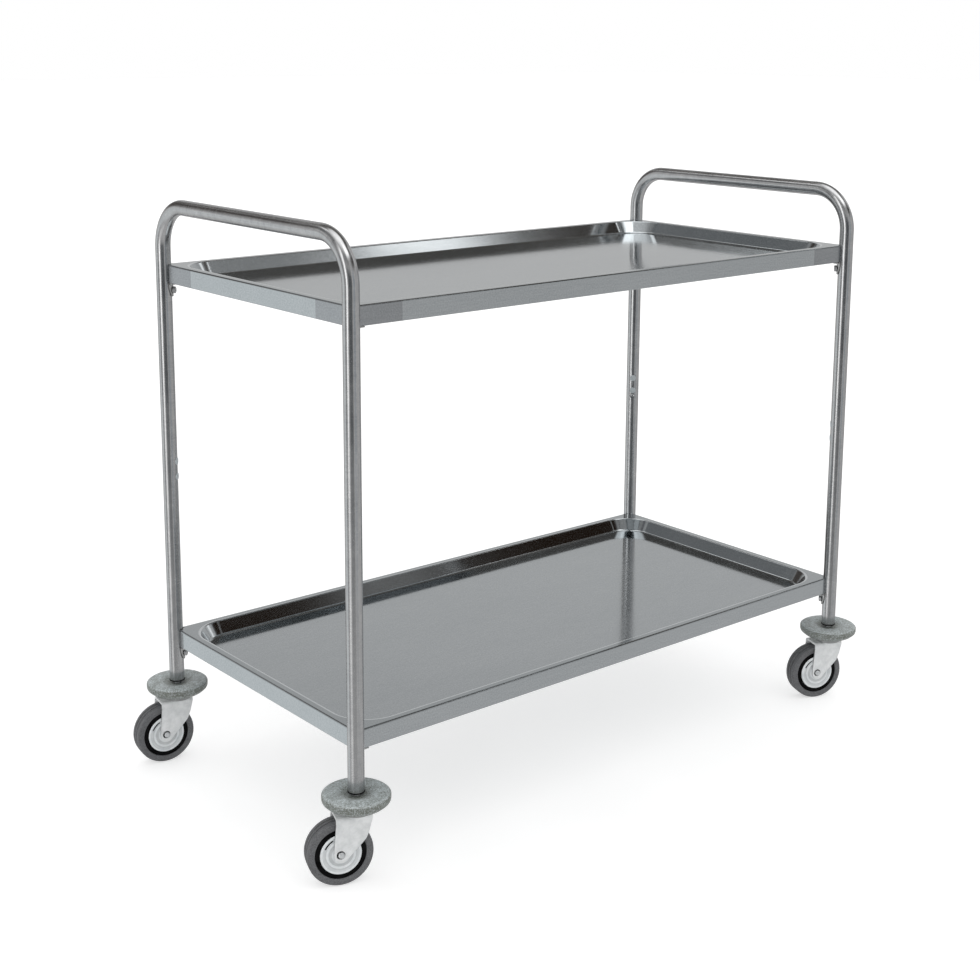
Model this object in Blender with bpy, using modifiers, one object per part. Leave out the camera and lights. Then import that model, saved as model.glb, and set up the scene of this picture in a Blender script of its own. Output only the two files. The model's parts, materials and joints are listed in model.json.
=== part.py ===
"""Two-shelf stainless-steel service trolley on four swivel casters.

Two inverted-U hoops of round tube carry two pressed trays, bolted to saddle brackets at each leg.
Each leg ends in a caster: a rubber bumper ring, a stem held in the tube by an expander plug, a
pressed fork that swivels about the leg's axis, and a rubber-tyred wheel that trails behind it.
Units are metres and +Z is up. The floor is z = 0, and the origin is the middle of the whole box.
"""
import math

import bmesh
import bpy
from mathutils import Matrix

# Frame
LENGTH = 1.080              # leg axis to leg axis, along X
WIDTH = 0.530               # leg axis to leg axis, along Y
HANDLE_Z = 0.950            # axis of the handle bars
TUBE_R = 0.0125
TUBE_WALL = 0.0012
BEND_R = 0.070              # of the tube's axis
TUBE_FOOT_Z = 0.140
TUBE_SIDES_RESOLUTION = 4   # twelve sides
BEND_STEPS = 7

# Shelves
LOWER_SHELF_Z = 0.230       # top of the rim
UPPER_SHELF_Z = 0.8535
SHEET = 0.0012
SHEET_BEND = 0.002          # the rim's bends
SKIRT = 0.030
LIP = 0.009                 # turned in at the skirt's lower edge
RIM_INSET = 0.0125          # width of the flat rim
TRAY_DEPTH = 0.022
FOOT_INSET = 0.034          # where the sloping wall meets the tray's floor
FOOT_BEND = 0.0085          # width of the bend between the wall and the tray's floor
FOOT_RISE = 0.0040          # and its height
NOTCH_R = TUBE_R + 0.0005   # the shelf's corner wraps the leg
LIP_NOTCH = 0.0015          # the lip stands back from the leg by this much more
CORNER_CENTRE = 0.076       # centre of the pressed corners, in from both sides
CORNER_STEPS = 5

# Saddle brackets and their bolts
BRACKET_R = TUBE_R + 0.0003
BRACKET_T = 0.002
BRACKET_REACH = 0.024       # of the flange under the shelf, from the leg's axis
BRACKET_DROP = 0.0227       # below the skirt
BRACKET_HALF_ANGLE = math.radians(42)
BRACKET_TIP = 0.45          # the saddle narrows to this part of its width
BRACKET_STEPS = 4
BOLT_DROP = 0.0125          # bolt axis below the skirt
BOLT_R = 0.0029
BOLT_AF = 0.010
BOLT_HEAD = 0.004
BOLT_END_R = 0.0080         # the shank ends this far from the leg's axis
HEXAGON_SLOPE = 1 / math.cos(math.pi / 6)   # across corners over across flats
DRILL_R = 0.0034
DRILL_SIDES = 8
SPARE_HOLES_Z = (0.497, 0.523)  # for a third shelf

# Casters
CASTER_ANGLES = {           # trailing direction of each wheel about Z, in degrees
    "front_left": 159.0,
    "back_left": 171.5,
    "front_right": 157.5,
    "back_right": 166.0,
}
SIDES = {"front_left": (-1, -1), "back_left": (-1, 1), "front_right": (1, -1), "back_right": (1, 1)}
TRAIL = 0.0272
WHEEL_R = 0.050
TYRE_HALF_WIDTH = 0.0142
CORE_R = 0.0382
CORE_HALF_WIDTH = 0.0132
CORE_RIM_IN = 0.032
CORE_WEB = 0.004            # half its thickness
HUB_R = 0.012
AXLE_R = 0.0042
AXLE_HEAD_R = 0.0055
AXLE_HEAD_PROUD = 0.0016    # of the fork's outer face
AXLE_HEAD_BEVEL = 0.0008
AXLE_TIP = 0.0262           # from the wheel's middle plane
NUT_AF = 0.013
NUT_T = 0.006
GUARD_R = 0.0312
GUARD_T = 0.001
GUARD_BORE = 0.0068
GUARD_BOSS_R = 0.0128       # the flat boss round the axle
GUARD_FOOT_R = 0.0165       # where the step below the boss ends
GUARD_STEP = 0.0012
GUARD_DISH = 0.0018         # of the outer edge, below the boss
FORK_IN = 0.0163            # inner face of each fork leg, from the wheel's middle plane
FORK_T = 0.0025
FORK_BEND = 0.0045          # outer radius of the crown's bends
FORK_LOW = 0.030            # below the boss
HEAD_HOLE_R = 0.0065
SHANK_HOLE_R = 0.0048
CROWN_TOP = 0.1083
CROWN_T = 0.0033
DOME_TOP = 0.1149
DOME_R = 0.0225
DOME_EDGE = 0.0030          # width of the dome's sloping edge
DOME_SLOPE = 0.0025         # and its height
DOME_ROOT = 0.001           # the dome starts this far inside the crown
STEM_R = 0.0059
STEM_FIT = 0.0007           # radial play of the stem in the bumper and the fork
STEM_TOP = 0.196
KING_HEAD_R = 0.009
KING_HEAD_T = 0.003
PLUG_TOP = 0.180            # below the lower shelf's bolts
PLUG_FIT = 0.0006           # radial play of the stem in the plug
SLEEVE_R = 0.0106
COLLAR_R = 0.0132
BUMPER_R = 0.0515
BUMPER_LOW = 0.119
BUMPER_TOP = 0.138
BUMPER_EDGE = 0.006
BUMPER_SEAT_R = 0.026       # inside the crown of the top
BUMPER_SEAT_DROP = 0.0009
BUMPER_DISH = 0.0012
BUMPER_FLAT_R = 0.040       # of the flat underside
GAP = 0.0003                # between parts that rest on each other


def wheel_reach(degrees):
    """How far a wheel reaches along X from its leg's axis."""
    turn = math.radians(degrees)
    return (TRAIL + WHEEL_R) * abs(math.cos(turn)) + TYRE_HALF_WIDTH * abs(math.sin(turn)) / 2


# The trailing wheels stand out past the bumpers on the -X side only, so the frame stands this
# far towards +X of the middle of the whole box.
FRAME_X = (max(wheel_reach(CASTER_ANGLES[c]) for c in ("front_left", "back_left")) - BUMPER_R) / 2


def clear_scene():
    for obj in list(bpy.data.objects):
        bpy.data.objects.remove(obj, do_unlink=True)


def new_collection(name):
    collection = bpy.data.collections.new(name)
    bpy.context.scene.collection.children.link(collection)
    return collection


def material(name, color, metallic, roughness):
    made = bpy.data.materials.new(name)
    made.use_nodes = True
    shader = made.node_tree.nodes["Principled BSDF"]
    shader.inputs["Base Color"].default_value = (*color, 1.0)
    shader.inputs["Metallic"].default_value = metallic
    shader.inputs["Roughness"].default_value = roughness
    made.diffuse_color = (*color, 1.0)
    return made


def smooth(mesh, degrees=35):
    mesh.shade_smooth()
    mesh.set_sharp_from_angle(angle=math.radians(degrees))


def evaluated_mesh(obj):
    """The object's mesh with its modifiers applied, welded where a curve's caps meet its sides."""
    bpy.context.view_layer.update()
    graph = bpy.context.evaluated_depsgraph_get()
    mesh = bpy.data.meshes.new_from_object(obj.evaluated_get(graph))
    edit = bmesh.new()
    edit.from_mesh(mesh)
    bmesh.ops.remove_doubles(edit, verts=edit.verts, dist=1e-6)
    edit.to_mesh(mesh)
    edit.free()
    bpy.data.objects.remove(obj, do_unlink=True)
    return mesh


def temporary(name, data):
    obj = bpy.data.objects.new(name, data)
    bpy.context.scene.collection.objects.link(obj)
    return obj


def place(name, mesh, finish, parent, location=(0, 0, 0), rotation=(0, 0, 0)):
    """One sub-part: an object of its own, on a mesh that copies may share."""
    obj = bpy.data.objects.new(name, mesh)
    PARTS.objects.link(obj)
    if not mesh.materials:
        mesh.materials.append(finish)
    obj.parent = parent
    obj.location = location
    obj.rotation_euler = rotation
    return obj


def empty(name, parent=None, location=(0, 0, 0), rotation=(0, 0, 0)):
    obj = bpy.data.objects.new(name, None)
    PARTS.objects.link(obj)
    obj.empty_display_size = 0.03
    obj.parent = parent
    obj.location = location
    obj.rotation_euler = rotation
    return obj


def cutter(name, mesh, parent, location=(0, 0, 0), rotation=(0, 0, 0)):
    obj = bpy.data.objects.new(name, mesh)
    CUTTERS.objects.link(obj)
    obj.parent = parent
    obj.location = location
    obj.rotation_euler = rotation
    obj.hide_render = True
    obj.display_type = "WIRE"
    return obj


def boolean(obj, other, operation):
    modifier = obj.modifiers.new(f"{operation.lower()}_{other.name}", "BOOLEAN")
    modifier.operation = operation
    modifier.solver = "EXACT"
    modifier.object = other


def turned(name, profile, steps):
    """A closed profile of (radius, z) turned about Z. It runs down its outer side."""
    mesh = bpy.data.meshes.new(name)
    count = len(profile)
    on_axis = profile[0][0] == 0 and profile[-1][0] == 0
    edges = [(i, (i + 1) % count) for i in range(count - 1 if on_axis else count)]
    mesh.from_pydata([(r, 0, z) for r, z in profile], edges, [])
    obj = temporary(name, mesh)
    screw = obj.modifiers.new("turn", "SCREW")
    screw.axis = "Z"
    screw.angle = 2 * math.pi
    screw.steps = steps
    screw.render_steps = steps
    screw.use_merge_vertices = True
    screw.merge_threshold = 1e-5
    made = evaluated_mesh(obj)
    made.name = name
    smooth(made)
    return made


def arc(centre, radius, start, end, steps):
    """Points on a circle in a plane, from one angle in degrees to another."""
    turns = (math.radians(start + (end - start) * i / steps) for i in range(steps + 1))
    return [(centre[0] + radius * math.cos(t), centre[1] + radius * math.sin(t)) for t in turns]


def prism(name, outline, low, high, plane):
    """A flat outline, its points (across, z), run from low to high along the third axis."""
    edit = bmesh.new()
    if plane == "XZ":
        points = [edit.verts.new((a, low, z)) for a, z in outline]
        along = (0, high - low, 0)
    else:
        points = [edit.verts.new((low, a, z)) for a, z in outline]
        along = (high - low, 0, 0)
    face = edit.faces.new(points)
    run = bmesh.ops.extrude_face_region(edit, geom=[face])
    moved = [item for item in run["geom"] if isinstance(item, bmesh.types.BMVert)]
    bmesh.ops.translate(edit, verts=moved, vec=along)
    bmesh.ops.recalc_face_normals(edit, faces=edit.faces)
    mesh = bpy.data.meshes.new(name)
    edit.to_mesh(mesh)
    edit.free()
    return mesh


def loft(name, rings, closed=False, cap_first=True, cap_last=True):
    """A skin over rings of the same number of points. Closed joins the last ring to the first."""
    edit = bmesh.new()
    rows = [[edit.verts.new(point) for point in ring] for ring in rings]
    pairs = list(zip(rows, rows[1:]))
    if closed:
        pairs.append((rows[-1], rows[0]))
    count = len(rings[0])
    for first, second in pairs:
        for i in range(count):
            j = (i + 1) % count
            edit.faces.new((first[i], first[j], second[j], second[i]))
    if cap_first and not closed:
        edit.faces.new(rows[0])
    if cap_last and not closed:
        edit.faces.new(rows[-1])
    if closed or (cap_first and cap_last):
        bmesh.ops.recalc_face_normals(edit, faces=edit.faces)
    mesh = bpy.data.meshes.new(name)
    edit.to_mesh(mesh)
    edit.free()
    return mesh


def cylinder(name, radius, low, high, sides):
    edit = bmesh.new()
    bmesh.ops.create_cone(
        edit, cap_ends=True, segments=sides, radius1=radius, radius2=radius, depth=high - low
    )
    bmesh.ops.translate(edit, verts=edit.verts, vec=(0, 0, (low + high) / 2))
    mesh = bpy.data.meshes.new(name)
    edit.to_mesh(mesh)
    edit.free()
    return mesh


def circle(radius, z, sides=12):
    turns = (2 * math.pi * i / sides for i in range(sides))
    return [(radius * math.cos(t), radius * math.sin(t), z) for t in turns]


def hexagon(across_flats, z):
    """Six corners with the middles of the six flats between them."""
    points = []
    for i, (x, y, _) in enumerate(circle(across_flats / 2, z)):
        scale = HEXAGON_SLOPE if i % 2 == 0 else 1
        points.append((x * scale, y * scale, z))
    return points


# Frame and shelves

def inward(side):
    """Rotation about Z that points +X from a leg to the middle of the trolley."""
    return math.atan2(-side[1], -side[0])


def hoop_mesh(name):
    """One tube: up a leg, round a bend, along the handle, and down the other leg."""
    start_y = WIDTH / 2
    bend_y = start_y - BEND_R
    bend_z = HANDLE_Z - BEND_R
    route = [(-start_y, TUBE_FOOT_Z)]
    route += arc((-bend_y, bend_z), BEND_R, 180, 90, BEND_STEPS)
    route += arc((bend_y, bend_z), BEND_R, 90, 0, BEND_STEPS)
    route.append((start_y, TUBE_FOOT_Z))
    curve = bpy.data.curves.new(name, "CURVE")
    curve.dimensions = "3D"
    curve.bevel_depth = TUBE_R
    curve.bevel_resolution = TUBE_SIDES_RESOLUTION
    spline = curve.splines.new("POLY")
    spline.points.add(len(route) - 1)
    for point, (y, z) in zip(spline.points, route):
        point.co = (0, y, z, 1)
    obj = temporary(name, curve)
    wall = obj.modifiers.new("wall", "SOLIDIFY")
    wall.thickness = TUBE_WALL
    wall.offset = -1
    mesh = evaluated_mesh(obj)
    smooth(mesh)
    return mesh


def hoop(name, side_x):
    obj = place(name, hoop_mesh(name), STEEL, FRAME, (side_x * LENGTH / 2, 0, 0))
    drill = cylinder(f"{name}_drill", DRILL_R, BOLT_END_R, BRACKET_REACH, DRILL_SIDES)
    heights = [z - SKIRT - BOLT_DROP for z in (LOWER_SHELF_Z, UPPER_SHELF_Z)]
    for side_y in (-1, 1):
        for i, z in enumerate([*heights, *SPARE_HOLES_Z]):
            turn = inward((side_x, side_y))
            hole = cutter(
                f"{name}_hole_{'front' if side_y < 0 else 'back'}_{i}",
                drill,
                FRAME,
                (side_x * LENGTH / 2, side_y * WIDTH / 2, z),
                (0, math.pi / 2, turn),
            )
            boolean(obj, hole, "DIFFERENCE")
    return obj


def corner_points(inset, notch_r=None):
    """Inward distances (from the X side, from the Y side) of one corner's points."""
    if notch_r is None:
        radius = CORNER_CENTRE - inset
        turns = arc((0, 0), radius, 0, 90, CORNER_STEPS)
        return [(CORNER_CENTRE - x, CORNER_CENTRE - y) for x, y in turns]
    cut = math.degrees(math.asin(inset / notch_r))
    turns = arc((0, 0), notch_r, 270 - cut, 180 + cut, CORNER_STEPS)
    return [(-x, -y) for x, y in turns]


def shelf_ring(inset, z, notch_r=None):
    """One level line round the shelf, counter-clockwise seen from above."""
    corner = corner_points(inset, notch_r)
    ring = []
    for side_x, side_y in ((1, 1), (-1, 1), (-1, -1), (1, -1)):
        points = corner if side_x == side_y else reversed(corner)
        ring += [(side_x * (LENGTH / 2 - u), side_y * (WIDTH / 2 - v), z) for u, v in points]
    return ring


def shelf_mesh():
    """The sheet's upper side: lip, skirt, rim, sloping wall and floor."""
    bend = SHEET_BEND
    wall_top = RIM_INSET + bend
    rings = [
        shelf_ring(LIP, -SKIRT, NOTCH_R + LIP_NOTCH),
        shelf_ring(0, -SKIRT, NOTCH_R),
        shelf_ring(0, -bend, NOTCH_R),
        shelf_ring(bend * 0.3, -bend * 0.3, NOTCH_R + bend * 0.3),
        shelf_ring(bend, 0, NOTCH_R + bend),
        shelf_ring(RIM_INSET, 0),
        shelf_ring(wall_top, -bend * 0.4),
        shelf_ring(wall_top + bend * 0.8, -bend * 1.5),
        shelf_ring(FOOT_INSET - FOOT_BEND, -TRAY_DEPTH + FOOT_RISE),
        shelf_ring(FOOT_INSET - FOOT_BEND * 0.6, -TRAY_DEPTH + FOOT_RISE * 0.25),
        shelf_ring(FOOT_INSET, -TRAY_DEPTH),
    ]
    mesh = loft("shelf", rings, cap_first=False)
    smooth(mesh)
    return mesh


def shelf(name, mesh, rim_z):
    obj = place(name, mesh, STEEL, FRAME, (0, 0, rim_z))
    sheet = obj.modifiers.new("sheet", "SOLIDIFY")
    sheet.thickness = SHEET
    sheet.offset = -1
    sheet.use_even_offset = True
    return obj


def bracket_mesh():
    """A flange under the shelf's corner and a tapered saddle on the leg, pointing along +X."""
    outer = BRACKET_R + BRACKET_T
    tip = BRACKET_TIP
    profile = [
        (BRACKET_R, 0, 1), (BRACKET_REACH, 0, 1), (BRACKET_REACH, -BRACKET_T, 1),
        (outer, -BRACKET_T, 1), (outer, -BRACKET_DROP, tip), (BRACKET_R, -BRACKET_DROP, tip),
    ]
    rings = []
    for i in range(BRACKET_STEPS + 1):
        turn = BRACKET_HALF_ANGLE * (2 * i / BRACKET_STEPS - 1)
        ring = [(r * math.cos(turn * part), r * math.sin(turn * part), z) for r, z, part in profile]
        rings.append(ring)
    base = temporary("bracket", loft("bracket", rings))
    hole = cutter(
        "bracket_hole",
        cylinder("bracket_hole", DRILL_R, BOLT_END_R, BRACKET_REACH, DRILL_SIDES),
        None,
        (0, 0, GAP - BOLT_DROP),
        (0, math.pi / 2, 0),
    )
    boolean(base, hole, "DIFFERENCE")
    mesh = evaluated_mesh(base)
    smooth(mesh)
    return mesh


def bolt_mesh():
    """A hexagon-head bolt along +Z, its origin under the head."""
    rings = [
        hexagon(BOLT_AF, BOLT_HEAD),
        hexagon(BOLT_AF, 0),
        circle(BOLT_R, 0),
        circle(BOLT_R, -(BRACKET_R + BRACKET_T + GAP - BOLT_END_R)),
    ]
    mesh = loft("shelf_bolt", rings)
    smooth(mesh)
    return mesh


# Casters, each in its own frame: the swivel axis is Z, the wheel trails along +X, its axle is Y

def bumper_mesh():
    """A rubber disc with a slightly dished top, a rounded edge and a tapering underside."""
    low_edge = arc((BUMPER_R - BUMPER_EDGE, BUMPER_LOW + BUMPER_EDGE), BUMPER_EDGE, 0, -60, 2)
    top_edge = arc((BUMPER_R - BUMPER_EDGE, BUMPER_TOP - BUMPER_EDGE), BUMPER_EDGE, 90, 0, 2)
    bore = STEM_R + STEM_FIT
    profile = [
        (bore, BUMPER_TOP - BUMPER_DISH), (BUMPER_SEAT_R, BUMPER_TOP - BUMPER_SEAT_DROP),
        *top_edge, *low_edge, (BUMPER_FLAT_R, BUMPER_LOW), (bore, BUMPER_LOW),
    ]
    return turned("bumper", profile, 20)


def stem_mesh():
    """Stem in the leg, upper race flange, and king pin with its riveted head under the crown."""
    flange_top = BUMPER_LOW - GAP
    flange_low = DOME_TOP + GAP
    head_top = CROWN_TOP - CROWN_T - GAP
    head_low = head_top - KING_HEAD_T
    profile = [
        (0, STEM_TOP), (STEM_R, STEM_TOP), (STEM_R, flange_top), (DOME_R, flange_top),
        (DOME_R, flange_low), (STEM_R, flange_low), (STEM_R, head_top),
        (KING_HEAD_R, head_top), (KING_HEAD_R, head_low), (0, head_low),
    ]
    return turned("stem", profile, 10)


def plug_mesh():
    """Expander sleeve in the tube, with the collar that shows under the tube's end."""
    bore = STEM_R + PLUG_FIT
    low = BUMPER_TOP + GAP
    collar_top = TUBE_FOOT_Z - GAP
    profile = [
        (bore, PLUG_TOP), (SLEEVE_R, PLUG_TOP), (SLEEVE_R, collar_top),
        (COLLAR_R, collar_top), (COLLAR_R, low), (bore, low),
    ]
    return turned("plug", profile, 10)


def fork_outline():
    """Side view of the fork as (x, z): crown, rear edge, round boss at the axle, front edge."""
    boss = arc((TRAIL, WHEEL_R), 0.0112, 12, -118, 4)
    return [
        (-0.0200, CROWN_TOP + 0.001), (0.0345, CROWN_TOP + 0.001), (0.0348, 0.100), *boss,
        (-0.0030, 0.0640), (-0.0095, 0.0720), (-0.0145, 0.0850), (-0.0200, 0.1040),
    ]


def fork_section():
    """Front view of the bent sheet as (y, z): an inverted U."""
    out = FORK_IN + FORK_T
    outer = FORK_BEND
    inner = FORK_BEND - FORK_T
    under = CROWN_TOP - CROWN_T
    return [
        (out, FORK_LOW),
        *arc((out - outer, CROWN_TOP - outer), outer, 0, 90, 2),
        *arc((-out + outer, CROWN_TOP - outer), outer, 90, 180, 2),
        (-out, FORK_LOW), (-FORK_IN, FORK_LOW),
        *arc((-FORK_IN + inner, under - inner), inner, 180, 90, 1),
        *arc((FORK_IN - inner, under - inner), inner, 90, 0, 1),
        (FORK_IN, FORK_LOW),
    ]


def fork_mesh():
    base = temporary("fork", prism("fork", fork_section(), -0.03, 0.05, "YZ"))
    side = cutter("fork_side", prism("fork_side", fork_outline(), -0.03, 0.03, "XZ"), None)
    hole_r = STEM_R + STEM_FIT
    root = CROWN_TOP - DOME_ROOT
    dome_profile = [
        (hole_r, DOME_TOP), (DOME_R - DOME_EDGE, DOME_TOP), (DOME_R, DOME_TOP - DOME_SLOPE),
        (DOME_R, root), (hole_r, root),
    ]
    dome = cutter("fork_dome", turned("fork_dome", dome_profile, 12), None)
    king = cutter("fork_king_hole", cylinder("fork_king_hole", hole_r, 0.09, 0.12, 12), None)
    flat = (-math.pi / 2, 0, 0)
    axle = (TRAIL, 0, WHEEL_R)
    raised = (TRAIL + 0.0003, 0, WHEEL_R + 0.0005)
    head_drill = cylinder("fork_head_hole", HEAD_HOLE_R, 0.0, 0.03, 10)
    head = cutter("fork_head_hole", head_drill, None, raised, flat)
    shank_drill = cylinder("fork_shank_hole", SHANK_HOLE_R, -0.03, 0.0, 8)
    shank = cutter("fork_shank_hole", shank_drill, None, axle, flat)
    boolean(base, side, "INTERSECT")
    boolean(base, dome, "UNION")
    for hole in (king, head, shank):
        boolean(base, hole, "DIFFERENCE")
    mesh = evaluated_mesh(base)
    smooth(mesh, 30)
    return mesh


def tyre_mesh():
    """Rubber tyre with rounded shoulders, turned about its axle, which is Z here."""
    steps = 28
    flats = 1 / math.cos(math.pi / steps)  # the flats, and not the corners, lie on the true radius
    bore = CORE_R + 0.0005
    upper = [(0.0440 * flats, TYRE_HALF_WIDTH), (0.0482 * flats, 0.0122), (WHEEL_R * flats, 0.0080)]
    lower = [(r, -y) for r, y in reversed(upper)]
    profile = [(bore, CORE_HALF_WIDTH), *upper, *lower, (bore, -CORE_HALF_WIDTH)]
    mesh = turned("tyre", profile, steps)
    mesh.transform(Matrix.Rotation(math.pi / steps, 4, "Z"))
    return mesh


def core_mesh():
    """Moulded wheel centre: rim, web and hub."""
    bore = AXLE_R + 0.0004
    upper = [
        (bore, CORE_HALF_WIDTH), (HUB_R, CORE_HALF_WIDTH), (HUB_R, CORE_WEB),
        (CORE_RIM_IN, CORE_WEB), (CORE_RIM_IN, CORE_HALF_WIDTH), (CORE_R, CORE_HALF_WIDTH),
    ]
    lower = [(r, -y) for r, y in reversed(upper)]
    return turned("core", upper + lower, 16)


def guard_mesh():
    """Pressed disc that covers the hub and closes the wheel against thread, on the +Z side."""
    face = FORK_IN - GAP
    outside = [
        (GUARD_BORE, face), (GUARD_BOSS_R, face),
        (GUARD_FOOT_R, face - GUARD_STEP), (GUARD_R, face - GUARD_DISH),
    ]
    inside = [(r, y - GUARD_T) for r, y in reversed(outside)]
    return turned("guard", outside + inside, 16)


def axle_mesh():
    """Axle with a round head on the +Z side and a threaded end on the other."""
    head_low = FORK_IN
    head_top = FORK_IN + FORK_T + AXLE_HEAD_PROUD
    bevel = AXLE_HEAD_BEVEL
    profile = [
        (0, head_top), (AXLE_HEAD_R - bevel, head_top), (AXLE_HEAD_R, head_top - bevel),
        (AXLE_HEAD_R, head_low), (AXLE_R, head_low), (AXLE_R, -AXLE_TIP), (0, -AXLE_TIP),
    ]
    return turned("axle", profile, 10)


def nut_mesh():
    """Hexagon nut against the fork's -Z side."""
    high = -(FORK_IN + FORK_T + GAP)
    low = high - NUT_T
    bore = (AXLE_R + 0.0002) / math.cos(math.pi / 12)
    rings = [hexagon(NUT_AF, high), hexagon(NUT_AF, low), circle(bore, low), circle(bore, high)]
    mesh = loft("nut", rings, closed=True)
    smooth(mesh)
    return mesh


def caster(corner, meshes):
    """The pieces of one caster: those fixed to the leg, those that swivel and those that roll."""
    side_x, side_y = SIDES[corner]
    leg = (side_x * LENGTH / 2, side_y * WIDTH / 2, 0)
    place(f"{corner}_bumper", meshes["bumper"], BUMPER_RUBBER, FRAME, leg)
    place(f"{corner}_stem", meshes["stem"], ZINC, FRAME, leg)
    place(f"{corner}_expander_plug", meshes["plug"], BLACK_NYLON, FRAME, leg)
    swivel = empty(f"{corner}_swivel", FRAME, leg, (0, 0, math.radians(CASTER_ANGLES[corner])))
    place(f"{corner}_fork", meshes["fork"], FORK_ZINC, swivel)
    wheel = empty(f"{corner}_wheel", swivel, (TRAIL, 0, WHEEL_R), (-math.pi / 2, 0, 0))
    place(f"{corner}_tyre", meshes["tyre"], TYRE_RUBBER, wheel)
    place(f"{corner}_wheel_core", meshes["core"], BLACK_NYLON, wheel)
    place(f"{corner}_axle", meshes["axle"], ZINC, wheel)
    place(f"{corner}_axle_nut", meshes["nut"], ZINC, wheel)
    place(f"{corner}_thread_guard_a", meshes["guard"], GUARD_ZINC, wheel)
    place(f"{corner}_thread_guard_b", meshes["guard"], GUARD_ZINC, wheel, rotation=(math.pi, 0, 0))


def shelf_fixings(level, rim_z, bracket, bolt):
    """A saddle bracket and its bolt at each leg, under one shelf."""
    under = rim_z - SKIRT
    seat = BRACKET_R + BRACKET_T + GAP
    for corner, side in SIDES.items():
        x = side[0] * LENGTH / 2
        y = side[1] * WIDTH / 2
        turn = inward(side)
        saddle = f"{level}_bracket_{corner}"
        place(saddle, bracket, BRACKET_STEEL, FRAME, (x, y, under - GAP), (0, 0, turn))
        seat_at = (x + seat * math.cos(turn), y + seat * math.sin(turn), under - BOLT_DROP)
        screw = f"{level}_bolt_{corner}"
        place(screw, bolt, BOLT_STEEL, FRAME, seat_at, (0, math.pi / 2, turn))


clear_scene()
PARTS = new_collection("service_trolley")
CUTTERS = new_collection("cutters")

STEEL = material("satin_stainless", (0.60, 0.61, 0.62), 1.0, 0.30)
BRACKET_STEEL = material("bracket_steel", (0.66, 0.66, 0.65), 1.0, 0.35)
BOLT_STEEL = material("bolt_steel", (0.62, 0.62, 0.62), 1.0, 0.28)
ZINC = material("bright_zinc", (0.78, 0.80, 0.82), 1.0, 0.30)
FORK_ZINC = material("fork_zinc", (0.80, 0.82, 0.83), 1.0, 0.38)
GUARD_ZINC = material("guard_zinc", (0.82, 0.84, 0.86), 1.0, 0.30)
BUMPER_RUBBER = material("bumper_rubber", (0.36, 0.39, 0.38), 0.0, 0.55)
TYRE_RUBBER = material("tyre_rubber", (0.16, 0.165, 0.17), 0.0, 0.60)
BLACK_NYLON = material("black_nylon", (0.012, 0.012, 0.013), 0.0, 0.45)

FRAME = empty("frame_centre", location=(FRAME_X, 0, 0))

hoop("left_hoop", -1)
hoop("right_hoop", 1)

SHELF = shelf_mesh()
shelf("lower_shelf", SHELF, LOWER_SHELF_Z)
shelf("upper_shelf", SHELF, UPPER_SHELF_Z)

BRACKET = bracket_mesh()
BOLT = bolt_mesh()
shelf_fixings("lower", LOWER_SHELF_Z, BRACKET, BOLT)
shelf_fixings("upper", UPPER_SHELF_Z, BRACKET, BOLT)

CASTER_MESHES = {
    "bumper": bumper_mesh(),
    "stem": stem_mesh(),
    "plug": plug_mesh(),
    "fork": fork_mesh(),
    "tyre": tyre_mesh(),
    "core": core_mesh(),
    "guard": guard_mesh(),
    "axle": axle_mesh(),
    "nut": nut_mesh(),
}
for name in SIDES:
    caster(name, CASTER_MESHES)
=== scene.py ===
"""The looks of a two-shelf stainless-steel service trolley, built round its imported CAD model.

Every CAD node is replaced by a finer piece of the same size in the same place. Units are metres in
the frame of the CAD model: +Z up, the floor at z = 0. Small profiles are written in millimetres.
"""
import json
import math

import bmesh
import bpy
from mathutils import Matrix, Vector


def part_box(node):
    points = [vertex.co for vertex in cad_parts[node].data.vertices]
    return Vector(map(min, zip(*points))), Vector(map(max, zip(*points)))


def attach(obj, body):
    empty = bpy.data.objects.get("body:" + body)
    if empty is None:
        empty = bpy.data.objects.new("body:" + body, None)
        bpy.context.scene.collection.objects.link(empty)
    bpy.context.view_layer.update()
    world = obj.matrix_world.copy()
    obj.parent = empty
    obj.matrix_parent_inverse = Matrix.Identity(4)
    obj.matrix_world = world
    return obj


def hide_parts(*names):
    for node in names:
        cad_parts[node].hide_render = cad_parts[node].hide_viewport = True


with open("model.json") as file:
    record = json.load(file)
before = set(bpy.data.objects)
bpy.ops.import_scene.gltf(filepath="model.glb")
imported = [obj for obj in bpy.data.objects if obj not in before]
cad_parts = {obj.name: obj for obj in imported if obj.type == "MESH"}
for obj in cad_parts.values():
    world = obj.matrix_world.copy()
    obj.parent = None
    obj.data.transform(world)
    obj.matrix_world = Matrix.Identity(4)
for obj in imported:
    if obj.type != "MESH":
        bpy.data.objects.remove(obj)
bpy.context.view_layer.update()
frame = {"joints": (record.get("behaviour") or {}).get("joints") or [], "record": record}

MM = 0.001

# Driving dimensions, read from the frame
JOINTS = {joint["name"]: joint for joint in frame["joints"]}
BODY_OF = {
    node: body
    for body, nodes in frame["record"]["behaviour"]["bodies"].items()
    for node in nodes
}
CORNERS = ("front_left", "back_left", "front_right", "back_right")
LEG = {corner: Vector((*JOINTS[f"{corner}_swivel"]["pos_m"][:2], 0)) for corner in CORNERS}
CENTRE = sum(LEG.values(), Vector()) / len(LEG)
HALF_LENGTH = LEG["front_right"].x - CENTRE.x
HALF_WIDTH = LEG["back_left"].y - CENTRE.y
HANDLE_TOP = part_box("left_hoop")[1].z
TUBE_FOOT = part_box("left_hoop")[0].z
TUBE_R = 12.5 * MM
WALL = 1.2 * MM             # of the tubes and the sheet
RIM_Z = {level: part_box(f"{level}_shelf")[1].z for level in ("lower", "upper")}
SKIRT_MM = 30
DRILL_R_MM = 3.4            # every hole in the legs and brackets
QUARTER_TURN = math.pi / 2
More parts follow.
